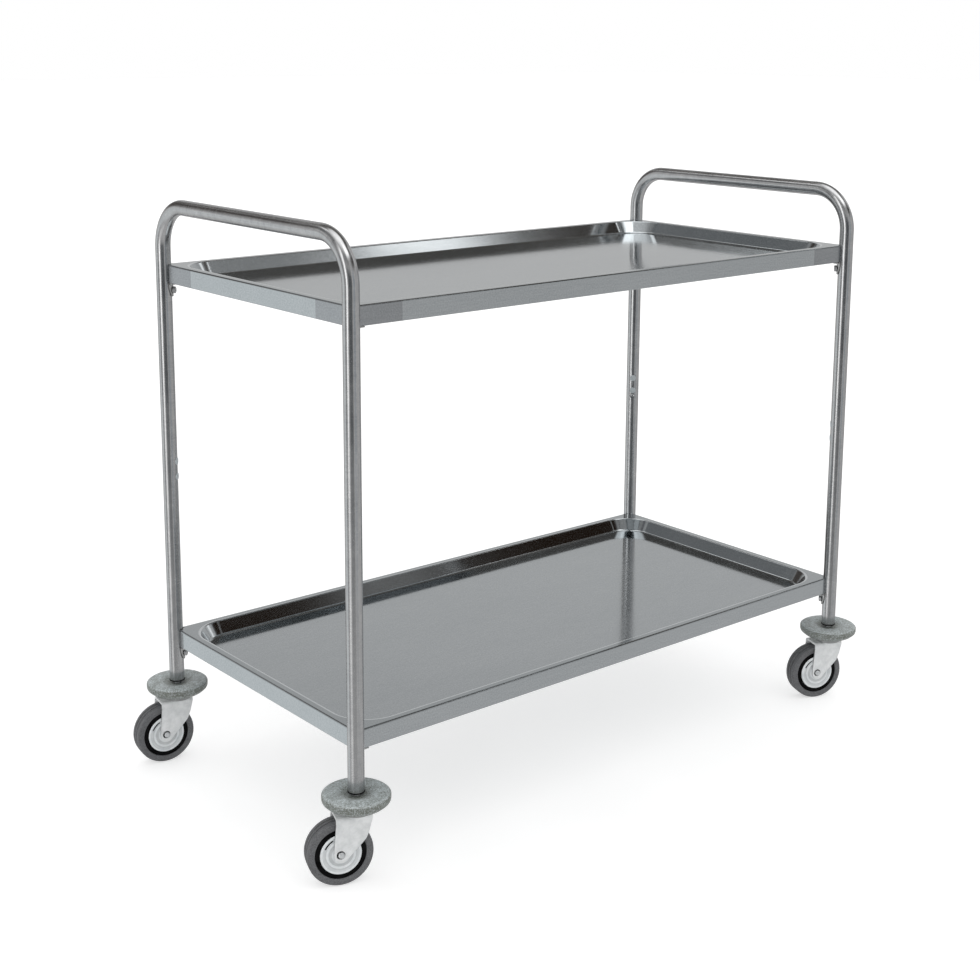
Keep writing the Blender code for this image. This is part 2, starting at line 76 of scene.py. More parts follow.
LYING = Matrix.Rotation(QUARTER_TURN, 4, "Y")   # lays a piece's Z along X


# Geometry helpers

def filleted(points, closed=True, step_degrees=12):
    """A polygon of (a, b, radius): each corner with a radius becomes an arc."""
    line = []
    count = len(points)
    for i, (a, b, radius) in enumerate(points):
        here = Vector((a, b))
        if radius == 0 or (not closed and i in (0, count - 1)):
            line.append((a, b))
            continue
        back = Vector(points[i - 1][:2]) - here
        ahead = Vector(points[(i + 1) % count][:2]) - here
        half = back.angle(ahead) / 2
        reach = min(radius / math.tan(half), 0.49 * back.length, 0.49 * ahead.length)
        radius = reach * math.tan(half)
        inward = (back.normalized() + ahead.normalized()).normalized()
        centre = here + inward * radius / math.sin(half)
        first = here + back.normalized() * reach - centre
        sweep = (math.pi - 2 * half) * (1 if back.x * ahead.y - back.y * ahead.x < 0 else -1)
        steps = max(2, math.ceil(abs(math.degrees(sweep)) / step_degrees))
        start = math.atan2(first.y, first.x)
        for k in range(steps + 1):
            turn = start + sweep * k / steps
            line.append((centre.x + radius * math.cos(turn), centre.y + radius * math.sin(turn)))
    return line


def arc(centre, radius, start, end, steps):
    """Points on a circle, from one angle in degrees to another."""
    turns = (math.radians(start + (end - start) * k / steps) for k in range(steps + 1))
    return [(centre[0] + radius * math.cos(t), centre[1] + radius * math.sin(t)) for t in turns]


def rod(radius, low, high):
    """The profile of a plain rod, for turned() with an open profile."""
    return [(0, low), (radius, low), (radius, high), (0, high)]


def facing_in(corner):
    """The turn about Z that brings +X from a leg towards the trolley's middle, on the diagonal."""
    inward = CENTRE - LEG[corner]
    return math.atan2(math.copysign(1, inward.y), math.copysign(1, inward.x))


def finished(edit, name, sharp=38):
    """The edited mesh with its normals out, smooth but for its sharp edges."""
    bmesh.ops.recalc_face_normals(edit, faces=edit.faces)
    mesh = bpy.data.meshes.new(name)
    edit.to_mesh(mesh)
    edit.free()
    mesh.shade_smooth()
    mesh.set_sharp_from_angle(angle=math.radians(sharp))
    return mesh


def turned(name, profile, segments, closed=True, sharp=38):
    """A profile of (radius, height) in mm turned about Z. Open ones start and end on the axis.

    Its UV runs round the axis and along the profile, in metres, for turning marks.
    """
    edit = bmesh.new()
    uv = edit.loops.layers.uv.new("UVMap")
    rows = []
    for radius, height in profile:
        if radius < 1e-6:
            rows.append([edit.verts.new((0, 0, height * MM))] * segments)
            continue
        turns = (2 * math.pi * k / segments for k in range(segments))
        rows.append([
            edit.verts.new((radius * MM * math.cos(t), radius * MM * math.sin(t), height * MM))
            for t in turns
        ])
    along = 0.0
    for i, low in enumerate(rows if closed else rows[:-1]):
        n = (i + 1) % len(rows)
        high = rows[n]
        reach = along + math.dist(profile[i], profile[n]) * MM
        around = 2 * math.pi * max(profile[i][0], profile[n][0]) * MM / segments
        for k in range(segments):
            j = (k + 1) % segments
            # A point on the axis is one vertex for its whole row, so faces there have three sides.
            places = {
                low[k]: (k, along), low[j]: (k + 1, along),
                high[j]: (k + 1, reach), high[k]: (k, reach),
            }
            face = edit.faces.new(tuple(places))
            for loop in face.loops:
                step, distance = places[loop.vert]
                loop[uv].uv = (step * around, distance)
        along = reach
    return finished(edit, name, sharp)


def prism(name, outline, low, high, plane):
    """An outline in mm run from low to high: plane XZ runs along Y, YZ along X, and XY along Z."""
    place = {
        "XZ": lambda a, b, c: (a, c, b),
        "YZ": lambda a, b, c: (c, a, b),
        "XY": lambda a, b, c: (a, b, c),
    }[plane]
    edit = bmesh.new()
    near = [edit.verts.new(Vector(place(a, b, low)) * MM) for a, b in outline]
    far = [edit.verts.new(Vector(place(a, b, high)) * MM) for a, b in outline]
    edit.faces.new(near)
    edit.faces.new(far)
    for k in range(len(outline)):
        j = (k + 1) % len(outline)
        edit.faces.new((near[k], near[j], far[j], far[k]))
    return finished(edit, name)


def scratch(mesh):
    """A helper object, outside the render, for the modifiers to work on."""
    obj = bpy.data.objects.new(mesh.name, mesh)
    bpy.context.scene.collection.objects.link(obj)
    return obj


def boolean(base, other, operation):
    """Cuts, adds or intersects the other object, once the base is baked."""
    cut = base.modifiers.new(operation.lower(), "BOOLEAN")
    cut.operation = operation
    cut.solver = "EXACT"
    cut.object = other


def baked(base, helpers=(), sharp=38):
    """The mesh of an object with its modifiers applied. The object and its helpers are removed."""
    bpy.context.view_layer.update()
    graph = bpy.context.evaluated_depsgraph_get()
    mesh = bpy.data.meshes.new_from_object(base.evaluated_get(graph))
    mesh.name = base.name
    for obj in (base, *helpers):
        bpy.data.objects.remove(obj, do_unlink=True)
    mesh.shade_smooth()
    mesh.set_sharp_from_angle(angle=math.radians(sharp))
    return mesh


def softened(mesh, width_mm, angle=30, segments=2):
    """The mesh with a small round on every edge sharper than the angle."""
    edit = bmesh.new()
    edit.from_mesh(mesh)
    bmesh.ops.remove_doubles(edit, verts=edit.verts, dist=2e-6)
    bmesh.ops.dissolve_limit(
        edit, angle_limit=math.radians(1), verts=edit.verts, edges=edit.edges
    )
    clean = bpy.data.meshes.new(mesh.name)
    edit.to_mesh(clean)
    edit.free()
    obj = scratch(clean)
    bevel = obj.modifiers.new("edges", "BEVEL")
    bevel.width = width_mm * MM
    bevel.segments = segments
    bevel.limit_method = "ANGLE"
    bevel.angle_limit = math.radians(angle)
    bevel.miter_outer = "MITER_ARC"
    bevel.harden_normals = False
    weighted = obj.modifiers.new("normals", "WEIGHTED_NORMAL")
    weighted.keep_sharp = False
    return baked(obj, sharp=60)


def show(node, mesh, finish, placed=Matrix()):
    """One finished piece: it replaces its CAD node and rides on that node's body."""
    mesh = mesh.copy()
    mesh.transform(placed)
    if not mesh.materials:
        for each in finish if isinstance(finish, tuple) else (finish,):
            mesh.materials.append(each)
    obj = bpy.data.objects.new(f"{node}_finished", mesh)
    bpy.context.scene.collection.objects.link(obj)
    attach(obj, BODY_OF[node])
    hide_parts(node)
    return obj


# Materials

class Finish:
    """A material under construction: adds nodes, and links or sets their inputs."""

    def __init__(self, name, metallic, ior=1.5):
        self.material = bpy.data.materials.new(f"{name}_finish")
        self.material.use_nodes = True
        self.tree = self.material.node_tree
        self.shader = self.tree.nodes["Principled BSDF"]
        self.put(self.shader.inputs["Metallic"], metallic)
        self.put(self.shader.inputs["IOR"], ior)

    def put(self, socket, value):
        """Links a node's output to the socket, or sets the socket to a value."""
        if isinstance(value, bpy.types.NodeSocket):
            self.tree.links.new(value, socket)
        else:
            socket.default_value = value

    def add(self, kind, inputs, output=0, **settings):
        """A new node, as one of its outputs."""
        node = self.tree.nodes.new(kind)
        for key, value in settings.items():
            setattr(node, key, value)
        for key, value in inputs.items():
            self.put(node.inputs[key], value)
        return node.outputs[output]

    def object_point(self):
        """Where the shading point is on the piece, in metres."""
        return self.add("ShaderNodeTexCoord", {}, "Object")

    def uv_point(self):
        """Where the shading point is along and round a tube or a turned piece, in metres."""
        return self.add("ShaderNodeTexCoord", {}, "UV")

    def stretched(self, point, scale):
        return self.add("ShaderNodeMapping", {"Vector": point, "Scale": scale})

    def noise(self, point, scale, detail=3.0, roughness=0.55):
        inputs = {"Vector": point, "Scale": scale, "Detail": detail, "Roughness": roughness}
        return self.add("ShaderNodeTexNoise", inputs)

    def span(self, value, low, high, to_low, to_high):
        """The value with low..high stretched to to_low..to_high, and held at its ends."""
        return self.add("ShaderNodeMapRange", {
            "Value": value, "From Min": low, "From Max": high, "To Min": to_low, "To Max": to_high,
        })

    def swing(self, noise, amount, spread=0.2):
        """A noise as a deviation from -amount to amount, reached at the spread round its middle."""
        return self.span(noise, 0.5 - spread, 0.5 + spread, -amount, amount)

    def maths(self, operation, first, second=0.0):
        return self.add("ShaderNodeMath", {0: first, 1: second}, operation=operation)

    def total(self, first, *others):
        for other in others:
            first = self.maths("ADD", first, other)
        return first

    def blend(self, factor, first, second):
        inputs = {"Factor": factor, 6: (*first, 1), 7: (*second, 1)}
        return self.add("ShaderNodeMix", inputs, 2, data_type="RGBA")

    def attribute(self, name):
        return self.add("ShaderNodeAttribute", {}, "Fac", attribute_name=name)

    def bump(self, layers):
        """Height layers of (value, depth in metres), one over the other."""
        normal = None
        for value, depth in layers:
            inputs = {"Height": value, "Distance": depth, "Strength": 1.0}
            if normal:
                inputs["Normal"] = normal
            normal = self.add("ShaderNodeBump", inputs)
        self.put(self.shader.inputs["Normal"], normal)

    def done(self, color, roughness):
        self.put(self.shader.inputs["Base Color"], color)
        self.put(self.shader.inputs["Roughness"], roughness)
        return self.material


def tube_steel():
    """Centreless-ground tube: fine grain round it, so reflections smear along its length."""
    f = Finish("tube_steel", 1.0)
    uv = f.uv_point()
    grain = f.noise(f.stretched(uv, (1.0, 0.03, 1.0)), 1400, 2)
    streaks = f.noise(f.stretched(uv, (0.012, 1.0, 1.0)), 420, 2)
    mottle = f.noise(uv, 70, 4, 0.6)
    smudge = f.noise(f.stretched(uv, (1.0, 0.8, 1.0)), 14, 3)
    tone = f.total(
        f.swing(grain, 0.30), f.swing(streaks, 0.25), f.swing(mottle, 0.22, 0.15),
        f.span(smudge, 0.35, 0.7, -0.15, 0.35),
    )
    color = f.blend(f.span(tone, -0.7, 0.7, 0.0, 1.0), (0.42, 0.425, 0.435), (0.60, 0.60, 0.60))
    rough = f.total(f.span(smudge, 0.3, 0.7, 0.15, 0.24), f.span(grain, 0.3, 0.7, -0.03, 0.04))
    f.put(f.shader.inputs["Anisotropic"], 0.75)
    f.put(f.shader.inputs["Tangent"], f.add("ShaderNodeTangent", {}, direction_type="UV_MAP"))
    f.bump([(grain, 4e-6), (streaks, 5e-6), (smudge, 4e-5)])
    return f.done(color, rough)


def sheet_steel(name, dark, light, rough_low, rough_high, grain_scale):
    """Satin sheet: fine grain along X, a fine speckle and faint wiping marks."""
    f = Finish(name, 1.0)
    point = f.object_point()
    grain = f.noise(f.stretched(point, (0.04, 1.0, 1.0)), grain_scale, 2)
    speckle = f.noise(point, 400, 3, 0.75)
    wiped = f.noise(f.stretched(point, (0.35, 1.0, 1.0)), 9, 4, 0.6)
    # The attribute darkens the tone with painted shade where the mesh marks it.
    tone = f.total(
        f.swing(grain, 0.25), f.swing(speckle, 0.6, 0.15), f.swing(wiped, 0.15, 0.15),
        f.attribute("painted_shade_and_dull_edges"),
    )
    color = f.blend(f.span(tone, -0.7, 0.9, 0.0, 1.0), dark, light)
    rough = f.total(f.span(wiped, 0.3, 0.7, rough_low, rough_high), f.swing(speckle, 0.03))
    f.put(f.shader.inputs["Anisotropic"], 0.25)
    f.bump([(grain, 3e-6), (speckle, 5e-6), (wiped, 3e-5)])
    return f.done(color, rough)


def small_steel(name, dark, light, rough):
    """Pressed or turned stainless trim, tumbled: an even, slightly stained satin."""
    f = Finish(name, 1.0)
    point = f.object_point()
    fine = f.noise(point, 1800, 3, 0.6)
    stain = f.noise(point, 160, 4, 0.6)
    tone = f.total(f.swing(fine, 0.3), f.swing(stain, 0.4, 0.15))
    color = f.blend(f.span(tone, -0.7, 0.7, 0.0, 1.0), dark, light)
    f.bump([(fine, 8e-6), (stain, 3e-5)])
    return f.done(color, f.span(stain, 0.3, 0.7, rough - 0.05, rough + 0.07))


def zinc(name, dark, light, rough, metal, ringed=False):
    """Bright zinc plate: soft cloudy patches, a pale bloom, and turning marks where it was spun."""
    f = Finish(name, metal)
    point = f.object_point()
    cloud = f.noise(point, 110, 4, 0.62)
    bloom = f.noise(point, 34, 3, 0.5)
    fine = f.noise(point, 2100, 2)
    tone = f.total(f.swing(cloud, 0.4, 0.15), f.swing(bloom, 0.3, 0.15))
    color = f.blend(f.span(tone, -0.7, 0.7, 0.0, 1.0), dark, light)
    # Mixes towards near-black by the attribute: painted shade, and on the fork's cut edges also
    # their duller zinc.
    dull_zinc_and_painted_shade = {0: f.attribute("painted_shade_and_dull_edges"), 6: color, 7: (0.10, 0.10, 0.10, 1.0)}
    color = f.add("ShaderNodeMix", dull_zinc_and_painted_shade, 2, data_type="RGBA")
    layers = [(fine, 3e-6), (cloud, 1.2e-5)]
    if ringed:
        rings = f.noise(f.stretched(f.uv_point(), (0.02, 1.0, 1.0)), 1500, 2)
        layers.append((rings, 5e-6))
    f.bump(layers)
    return f.done(color, f.span(cloud, 0.3, 0.7, rough - 0.05, rough + 0.08))


def rubber(name, dark, light, rough, speckle_scale, bump_depth):
    """Moulded rubber: speckled colour, a dusty bloom, and darker painted shade where the mesh's
    attribute marks it.
    """
    f = Finish(name, 0.0)
    point = f.object_point()
    speckle = f.noise(point, speckle_scale, 3, 0.8)
    cloud = f.noise(point, 75, 4, 0.6)
    nicks = f.add("ShaderNodeTexVoronoi", {"Vector": point, "Scale": 190.0}, "Distance")
    tone = f.total(f.swing(speckle, 0.7, 0.12), f.swing(cloud, 0.2, 0.15))
    # Painted shade, broken up by the cloud, where the attribute marks it.
    painted_shade = f.maths("MULTIPLY", f.attribute("painted_shade_and_dull_edges"), f.span(cloud, 0.35, 0.6, 0.35, 1.0))
    tone = f.maths("SUBTRACT", tone, painted_shade)
    color = f.blend(f.span(tone, -0.9, 0.8, 0.0, 1.0), dark, light)
    pits = f.span(nicks, 0.0, 0.10, 0.0, 1.0)
    f.bump([(speckle, bump_depth), (cloud, 6e-5), (pits, 5e-5)])
    return f.done(color, f.span(cloud, 0.3, 0.7, rough - 0.06, rough + 0.08))


def nylon():
    """Black moulding with a little dust."""
    f = Finish("black_nylon", 0.0)
    point = f.object_point()
    fine = f.noise(point, 1500, 3, 0.6)
    dust = f.noise(point, 60, 4, 0.6)
    dusty = f.span(dust, 0.4, 0.75, 0.0, 1.0)
    color = f.blend(dusty, (0.0015, 0.0015, 0.0017), (0.009, 0.009, 0.0095))
    f.bump([(fine, 1.5e-5)])
    f.put(f.shader.inputs["Specular IOR Level"], 0.06)
    return f.done(color, f.span(dust, 0.3, 0.7, 0.38, 0.52))


TUBE = tube_steel()
SHEET = sheet_steel("tray_steel", (0.445, 0.475, 0.49), (0.585, 0.61, 0.625), 0.085, 0.13, 900)
DRESSED = sheet_steel(
    "tray_weld_dressed", (0.33, 0.345, 0.36), (0.46, 0.475, 0.49), 0.18, 0.26, 700
)
# A lighter sheet: a painted highlight along the rim's inner bend into the wall.
RIM_HIGHLIGHT = sheet_steel("tray_rim_painted_highlight", (0.68, 0.71, 0.73), (0.84, 0.87, 0.89), 0.10, 0.15, 900)
BRACKET = small_steel("bracket_steel", (0.42, 0.42, 0.42), (0.60, 0.60, 0.59), 0.30)
BOLT = small_steel("bolt_steel", (0.38, 0.38, 0.39), (0.60, 0.60, 0.60), 0.25)
STEM = zinc("stem_zinc", (0.60, 0.62, 0.63), (0.78, 0.79, 0.80), 0.28, 0.6, ringed=True)
FORK = zinc("fork_zinc", (0.74, 0.76, 0.765), (0.95, 0.965, 0.97), 0.38, 0.12)
GUARD = zinc("guard_zinc", (0.76, 0.80, 0.82), (0.95, 0.975, 0.985), 0.32, 0.14, ringed=True)
AXLE = zinc("axle_zinc", (0.62, 0.64, 0.65), (0.80, 0.82, 0.83), 0.30, 0.5)
BUMPER = rubber("bumper_rubber", (0.15, 0.16, 0.14), (0.62, 0.68, 0.695), 0.40, 460, 2.2e-5)
TYRE = rubber("tyre_rubber", (0.070, 0.071, 0.075), (0.185, 0.188, 0.195), 0.55, 700, 2e-5)
CAP = rubber("cap_plastic", (0.40, 0.44, 0.46), (0.60, 0.65, 0.67), 0.42, 900, 1e-5)
NYLON = nylon()


# Frame tubes

def hoop_route(half_width, bend_radius, straight_step, bend_steps):
    """Stations along one hoop: (y, z, angle of travel, share of the way round a bend)."""
    axis_z = HANDLE_TOP - TUBE_R
    turn_y = half_width - bend_radius
    turn_z = axis_z - bend_radius
    rise = max(1, round((turn_z - TUBE_FOOT) / straight_step))
    across = max(1, round(2 * turn_y / straight_step))
    route = [(-half_width, TUBE_FOOT + (turn_z - TUBE_FOOT) * k / rise, 90, 0) for k in range(rise)]
    for k in range(bend_steps + 1):
        turn = math.radians(180 - 90 * k / bend_steps)
        at = (-turn_y + bend_radius * math.cos(turn), turn_z + bend_radius * math.sin(turn))
        route.append((*at, 90 - 90 * k / bend_steps, k / bend_steps))
    route += [(-turn_y + 2 * turn_y * k / across, axis_z, 0, 0) for k in range(1, across)]
    leg_and_bend = route[:rise + bend_steps + 1]
    return route + [(-y, z, -angle, share) for y, z, angle, share in reversed(leg_and_bend)]


def hoop_mesh(name):
    """A bent tube with its wall, a rounded edge at each foot, and grain coordinates."""
    sides = 48
    edge = 0.4 * MM
    ovality = 0.03          # how much flatter the tube is in the middle of a bend
    route = hoop_route(HALF_WIDTH, bend_radius=70 * MM, straight_step=20 * MM, bend_steps=26)
    stations = []
    along = 0.0
    for k, (y, z, angle, share) in enumerate(route):
        if k:
            along += math.hypot(y - route[k - 1][0], z - route[k - 1][1])
        stations.append((y, z, math.radians(angle), share, along))
    edit = bmesh.new()
    uv = edit.loops.layers.uv.new("UVMap")
    rows = []

    def row(station, radius, shift=0.0):
        y, z, angle, share, distance = station
        travel = Vector((0, math.cos(angle), math.sin(angle)))
        outward = Vector((0, -math.sin(angle), math.cos(angle)))
        sideways = Vector((1, 0, 0))
        centre = Vector((0, y, z)) + travel * shift
        flat = 1 - ovality * math.sin(math.pi * share)
        ring = []
        for k in range(sides):
            t = 2 * math.pi * k / sides
            spoke = flat * math.cos(t) * outward + math.sin(t) * sideways
            ring.append(edit.verts.new(centre + radius * spoke))
        rows.append((ring, distance + shift))

    # Each foot's edge, as shares of its radius in from the tube's side and up from its end
    rounded = [(1.0, 0.0), (0.24, 0.3), (0.0, 1.0)]
    for inward, up in rounded:
        row(stations[0], TUBE_R - inward * edge, up * edge)
    for station in stations[1:-1]:
        row(station, TUBE_R)
    for inward, up in reversed(rounded):
        row(stations[-1], TUBE_R - inward * edge, -up * edge)
    for station in reversed(stations):
        row(station, TUBE_R - WALL)
    around = 2 * math.pi * TUBE_R / sides
    for (ring, here), (following, there) in zip(rows, rows[1:] + rows[:1]):
        for k in range(sides):
            j = (k + 1) % sides
            face = edit.faces.new((ring[k], ring[j], following[j], following[k]))
            places = ((here, k), (here, k + 1), (there, k + 1), (there, k))
            for loop, (distance, step) in zip(face.loops, places):
                loop[uv].uv = (distance, step * around)
    return finished(edit, name)


SPARE_HOLES_Z = (0.497, 0.523)  # for a third shelf


def blanked(mesh, places):
    """The mesh with a pale cap, as its second material, in each of its drilled holes."""
    face_mm, back_mm = 12.9, 10.4   # from the leg's axis
    rim = filleted([(DRILL_R_MM, 12.85, 0), (6.3, 12.6, 0.5), (6.3, back_mm, 0)], closed=False)
    cap = turned("cap", [(0, face_mm), *rim, (0, back_mm)], 24, closed=False)
    edit = bmesh.new()
    edit.from_mesh(mesh)
    bare = len(edit.faces)
    for place in places:
        each = cap.copy()
        each.transform(place)
        edit.from_mesh(each)
    edit.faces.ensure_lookup_table()
    for face in edit.faces[bare:]:
        face.material_index = 1
    edit.to_mesh(mesh)
    edit.free()
    return mesh


def hoop(side):
    """One hoop, drilled on the inner side of each leg for a third shelf, with its holes capped."""
    base = scratch(hoop_mesh(f"{side}_hoop_tube"))
    legs = [corner for corner in CORNERS if corner.endswith(side)]
    at = Matrix.Translation((LEG[legs[0]].x, 0, 0))
    base.matrix_world = at
    drills = []
    for corner in legs:
        for z in SPARE_HOLES_Z:
            drill = scratch(turned("drill", rod(DRILL_R_MM, 8, 20), 20, closed=False))
            drill.matrix_world = (
                Matrix.Translation(LEG[corner] + Vector((0, 0, z)))
                @ Matrix.Rotation(facing_in(corner), 4, "Z")
                @ LYING
            )
            boolean(base, drill, "DIFFERENCE")
            drills.append(drill)
    bpy.context.view_layer.update()
    places = [at.inverted() @ drill.matrix_world for drill in drills]
    show(f"{side}_hoop", blanked(baked(base, drills), places), (TUBE, CAP), at)


# Shelves

CORNER_CENTRE_MM = 76       # centre of the pressed corners, in from both sides
CORNER_STEPS = 22
NOTCH_MM = 13               # the shelf's corners wrap the legs
DRESSED_MM = 88             # the skirt's welded ends are dressed this far from the leg's axis
LIP_MM = 9                  # turned in under the skirt
RIM_ROUND_MM = 2.8          # between the skirt and the rim
HIGHLIGHT_FROM_MM = 10.6              # the rim's inner edge carries a painted highlight from here in
MOUTH_MM = 14.2             # the wall's top, in from the skirt
FOOT_MM = 28.0              # the wall's foot, in from the skirt
DEPTH_MM = 22


def shelf_corner(inset, notch):
    """One corner's points as distances in from its X side and its Y side, in mm."""
    if notch is None:
        radius = CORNER_CENTRE_MM - inset
        turned_by = arc((0, 0), radius, 0, 90, CORNER_STEPS)
        points = [(CORNER_CENTRE_MM - x, CORNER_CENTRE_MM - y) for x, y in turned_by]
        beside, hold = CORNER_CENTRE_MM + 1, CORNER_CENTRE_MM + 2
    else:
        cut = math.degrees(math.asin(inset / notch))
        points = [(-x, -y) for x, y in arc((0, 0), notch, 270 - cut, 180 + cut, CORNER_STEPS)]
        beside, hold = notch + 1, DRESSED_MM
    return [(inset, hold), (inset, beside), *points, (beside, inset), (hold, inset)]


def notch_radius(inset, height):
    """The notch round the leg opens out where the section turns in, at the rim and at the lip."""
    if height > -RIM_ROUND_MM:
        return NOTCH_MM + max(0.0, min(inset, height + RIM_ROUND_MM))
    return NOTCH_MM + (max(0.0, inset) if height < 2 - SKIRT_MM else 0.0)


def shelf_ring(inset, height, notch):
    """One level line round the shelf, counter-clockwise from above."""
    corner = shelf_corner(inset, notch)
    ring = []
    for side_x, side_y in ((1, 1), (-1, 1), (-1, -1), (1, -1)):
        for u, v in corner if side_x == side_y else reversed(corner):
            x = CENTRE.x + side_x * (HALF_LENGTH - u * MM)
            y = CENTRE.y + side_y * (HALF_WIDTH - v * MM)
            ring.append(Vector((x, y, height * MM)))
    return ring


def shelf(level):
    """A pressed tray: lip, skirt, rounded rim, sloping wall, foot radius and floor."""
    section = filleted([
        (LIP_MM, -SKIRT_MM, 0), (0, -SKIRT_MM, 1.5), (0, 0, RIM_ROUND_MM), (HIGHLIGHT_FROM_MM, 0, 0),
        (MOUTH_MM, 0, 3.2), (FOOT_MM, -DEPTH_MM, 5.5), (FOOT_MM + 10, -DEPTH_MM, 0),
    ], closed=False, step_degrees=10)
    skirt_slot, highlight_slot = 1, 2
    edit = bmesh.new()
    painted_shade_and_dull_edges = edit.verts.layers.float.new("painted_shade_and_dull_edges")
    rows = []
    slots = []
    last_notched = max(
        i for i, (inset, z) in enumerate(section) if z > -1e-6 and inset < HIGHLIGHT_FROM_MM
    )
    for i, (inset, z) in enumerate(section):
        notch = notch_radius(inset, z) if i <= last_notched else None
        ring = [edit.verts.new(point) for point in shelf_ring(inset, z, notch)]
        # Painted shade darkens the rounded edge, and the rim's top a little less.
        on_round = -2.6 < z < -0.05 and inset < 2.6
        on_rim = z > -0.01 and inset < 12
        for vert in ring:
            vert[painted_shade_and_dull_edges] = -0.7 if on_round else -0.5 if on_rim else 0.0
        rows.append(ring)
        on_skirt = inset < 1.0 and -29.9 < z < -0.6
        # The rim's inner bend into the wall gets the lighter sheet: a painted highlight.
        on_highlight = inset >= HIGHLIGHT_FROM_MM and z > -0.7
        slots.append(skirt_slot if on_skirt else highlight_slot if on_highlight else 0)
    count = len(rows[0])
    quarter = count // 4
    dressed_ends = (0, 1, quarter - 3, quarter - 2)
    for i, (first, second) in enumerate(zip(rows, rows[1:])):
        slot = slots[i] if slots[i] == slots[i + 1] else 0
        for k in range(count):
            j = (k + 1) % count
            face = edit.faces.new((first[k], first[j], second[j], second[k]))
            if slot != skirt_slot or k % quarter in dressed_ends:
                face.material_index = slot
    edit.faces.new(rows[-1])
    obj = scratch(finished(edit, f"{level}_shelf_sheet", 50))
    sheet = obj.modifiers.new("sheet", "SOLIDIFY")
    sheet.thickness = WALL
    sheet.offset = -1
    sheet.use_even_offset = True
    weighted = obj.modifiers.new("normals", "WEIGHTED_NORMAL")
    weighted.keep_sharp = True
    mesh = baked(obj, sharp=50)
    ends = DRESSED if level == "upper" else SHEET
    show(f"{level}_shelf", mesh, (SHEET, ends, RIM_HIGHLIGHT), Matrix.Translation((0, 0, RIM_Z[level])))


# Brackets and bolts under the shelves

BRACKET_IN = 12.8           # radius of the saddle, from the leg's axis
BRACKET_T = 2.0
BRACKET_DROP = 22.7
FLANGE_R = 24.0
BOLT_DROP = 12.5


def bracket_mesh():
    """A saddle that hugs the leg and narrows downwards, with a flange under the shelf."""
    half_angle = 42
    straight_to = 5         # below the shelf, where it starts to narrow
    columns = 16
    levels = 14
    edit = bmesh.new()

    def width_at(depth):
        share = max(0.0, (depth - straight_to) / (BRACKET_DROP - straight_to))
        narrowed = 1 - 0.55 * share ** 1.3
        tip = max(0.0, (share - 0.8) / 0.2)
        return narrowed * math.sqrt(max(0.04, 1 - 0.75 * tip * tip))

    def skin(radius, depths):
        """Rows of points across the bracket, one for each depth."""
        rows = []
        for depth in depths:
            row = []
            for k in range(columns + 1):
                t = math.radians(half_angle * (2 * k / columns - 1) * width_at(depth))
                point = Vector((radius * math.cos(t), radius * math.sin(t), -depth))
                row.append(edit.verts.new(point * MM))
            rows.append(row)
        return rows

    corner = 2.2            # radius of the bend under the flange
    depths = [BRACKET_DROP * k / levels for k in range(levels + 1)]
    inner = skin(BRACKET_IN, depths)
    outer_radius = BRACKET_IN + BRACKET_T
    lower = [depth for depth in depths if depth > BRACKET_T + corner]
    outer = skin(outer_radius, reversed(lower))
    bend = arc((outer_radius + corner, -BRACKET_T - corner), corner, 180, 90, 5)
    for radius, height in bend:
        outer += skin(radius, [-height])
    outer += skin(FLANGE_R, [BRACKET_T, 0.0])
    loop = inner + outer
    for first, second in zip(loop, loop[1:] + loop[:1]):
        for k in range(columns):
            edit.faces.new((first[k], first[k + 1], second[k + 1], second[k]))
    for column in (0, columns):
        edit.faces.new([row[column] for row in loop])
    base = scratch(finished(edit, "bracket", 60))
    drill = scratch(turned("bracket_drill", rod(DRILL_R_MM, 8, 24), 24, closed=False))
    drill.matrix_world = Matrix.Translation((0, 0, -BOLT_DROP * MM)) @ LYING
    boolean(base, drill, "DIFFERENCE")
    return softened(baked(base, [drill]), 0.35, 45)


def hexagon_mesh(name, across_flats, low, high, chamfer, inner_profile):
    """A hexagon cut by a chamfering cone at its free end, with a turned shape cut out or added."""
    corners = arc((0, 0), across_flats / 2 / math.cos(math.pi / 6), 0, 300, 5)
    base = scratch(softened(prism(name, corners, low, high, "XY"), 0.18, 40))
    reach = across_flats / 2
    cone = scratch(turned(f"{name}_cone", [
        (0, high + 1), (reach * 0.4, high + 1), (reach - chamfer, high), (reach + 3, high - 2.0),
        (reach + 3, low - 1), (0, low - 1),
    ], 48, closed=False))
    boolean(base, cone, "INTERSECT")
    helpers = [cone]
    for profile, operation in inner_profile:
        other = scratch(turned(f"{name}_inner", profile, 32, closed=False))
        boolean(base, other, operation)
        helpers.append(other)
    return baked(base, helpers, sharp=30)


def bolt_mesh():
    """Hexagon head with a dished top and its shank, along +Z with its origin under the head."""
    shank = [(0, 0.5), (2.85, 0.5), (2.85, -6.6), (2.4, -7.0), (0, -7.0)]
    dish = [(0, 3.0), (1.6, 3.15), (2.4, 3.6), (2.9, 4.5), (0, 4.5)]
    washer = [(0, 0.6), (5.6, 0.6), (5.8, 0.4), (5.8, 0.0), (0, 0.0)]
    return hexagon_mesh("shelf_bolt", 10, 0.2, 4.0, 0.3, [
        (washer, "UNION"), (shank, "UNION"), (dish, "DIFFERENCE"),
    ])


